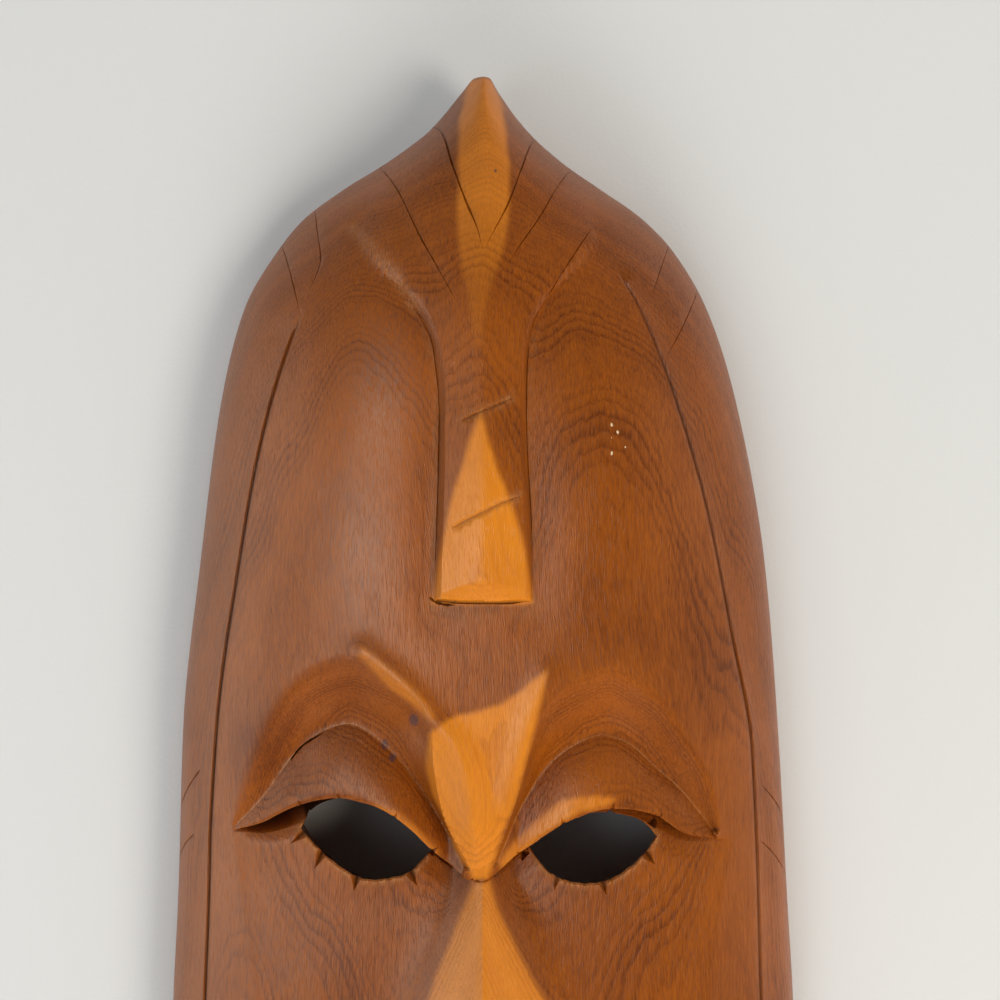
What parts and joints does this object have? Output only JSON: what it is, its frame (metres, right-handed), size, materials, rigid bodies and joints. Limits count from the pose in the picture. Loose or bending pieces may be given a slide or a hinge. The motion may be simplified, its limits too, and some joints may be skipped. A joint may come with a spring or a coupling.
{
  "type": "carved wooden mask",
  "caption": "A long oval face mask carved from one piece of reddish wood, with orange sapwood, a pointed crest, hooded eyes with through holes and a hollow back.",
  "frame": {"origin": "middle of the mask's bounding box, on the plane of its flat back rim", "axes": "+Y from the chin to the tip of the crest, +Z out of the face, so the mask lies on its back"},
  "size_m": [0.1634, 0.42, 0.0658],
  "materials": {
    "wood": "satin waxed"
  },
  "bodies": {
    "root": {"mask": "wood"}
  },
  "joints": []
}
